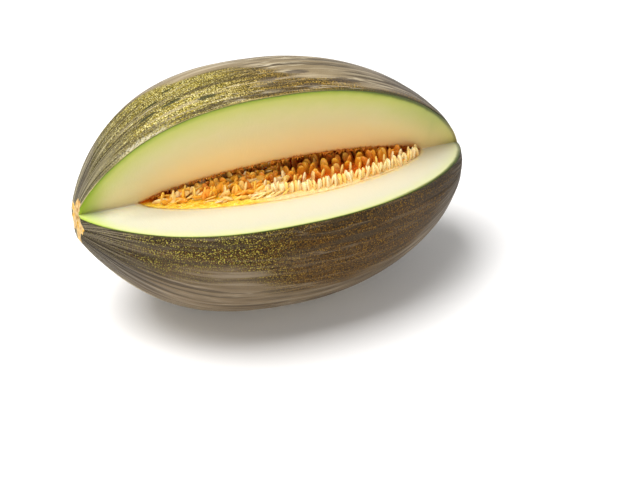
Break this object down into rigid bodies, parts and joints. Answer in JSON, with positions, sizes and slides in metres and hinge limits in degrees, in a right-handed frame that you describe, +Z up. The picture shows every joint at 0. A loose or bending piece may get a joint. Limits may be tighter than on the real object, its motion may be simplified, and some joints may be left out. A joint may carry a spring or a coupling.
{
  "type": "melon",
  "caption": "Long green melon lying on its side with a wedge cut out of it, showing pale flesh, orange seed pulp and standing seeds.",
  "frame": {"origin": "on the resting surface, under the middle of the melon's length and width, in the plane of the flattened ground spot", "axes": "+X along the melon from the stem end to the blossom end, +Z up, -Y out of the cut side"},
  "size_m": [0.2539, 0.156, 0.155],
  "materials": {
    "rind_and_flesh": "mottled dark green and brown rind with fine yellow specks and shallow lengthwise wrinkles, waxy satin; where it is cut, moist flesh that runs from a green rim through pale cream to light peach",
    "seed_pulp": "wet, stringy, orange-yellow seed pulp",
    "seed": "smooth cream to tan seed coat with a thin wet film"
  },
  "bodies": {
    "root": {"melon_body": "rind_and_flesh", "seed_pulp": "seed_pulp", "seed_01": "seed", "seed_02": "seed", "seed_03": "seed", "seed_04": "seed", "seed_05": "seed", "seed_06": "seed", "seed_07": "seed", "seed_08": "seed", "seed_09": "seed", "seed_10": "seed", "seed_11": "seed", "seed_12": "seed", "seed_13": "seed", "seed_14": "seed", "seed_15": "seed", "seed_16": "seed", "seed_17": "seed", "seed_18": "seed", "seed_19": "seed", "seed_20": "seed", "seed_21": "seed", "seed_22": "seed", "seed_23": "seed", "seed_24": "seed", "seed_25": "seed", "seed_26": "seed", "seed_27": "seed", "seed_28": "seed", "seed_29": "seed", "seed_30": "seed", "seed_31": "seed", "seed_32": "seed", "seed_33": "seed", "seed_34": "seed", "seed_35": "seed", "seed_36": "seed", "seed_37": "seed", "seed_38": "seed", "seed_39": "seed", "seed_40": "seed", "seed_41": "seed", "seed_42": "seed", "seed_43": "seed", "seed_44": "seed", "seed_45": "seed", "seed_46": "seed", "seed_47": "seed", "seed_48": "seed", "seed_49": "seed", "seed_50": "seed", "seed_51": "seed", "seed_52": "seed", "seed_53": "seed", "seed_54": "seed", "seed_55": "seed", "seed_56": "seed", "seed_57": "seed"}
  },
  "joints": []
}
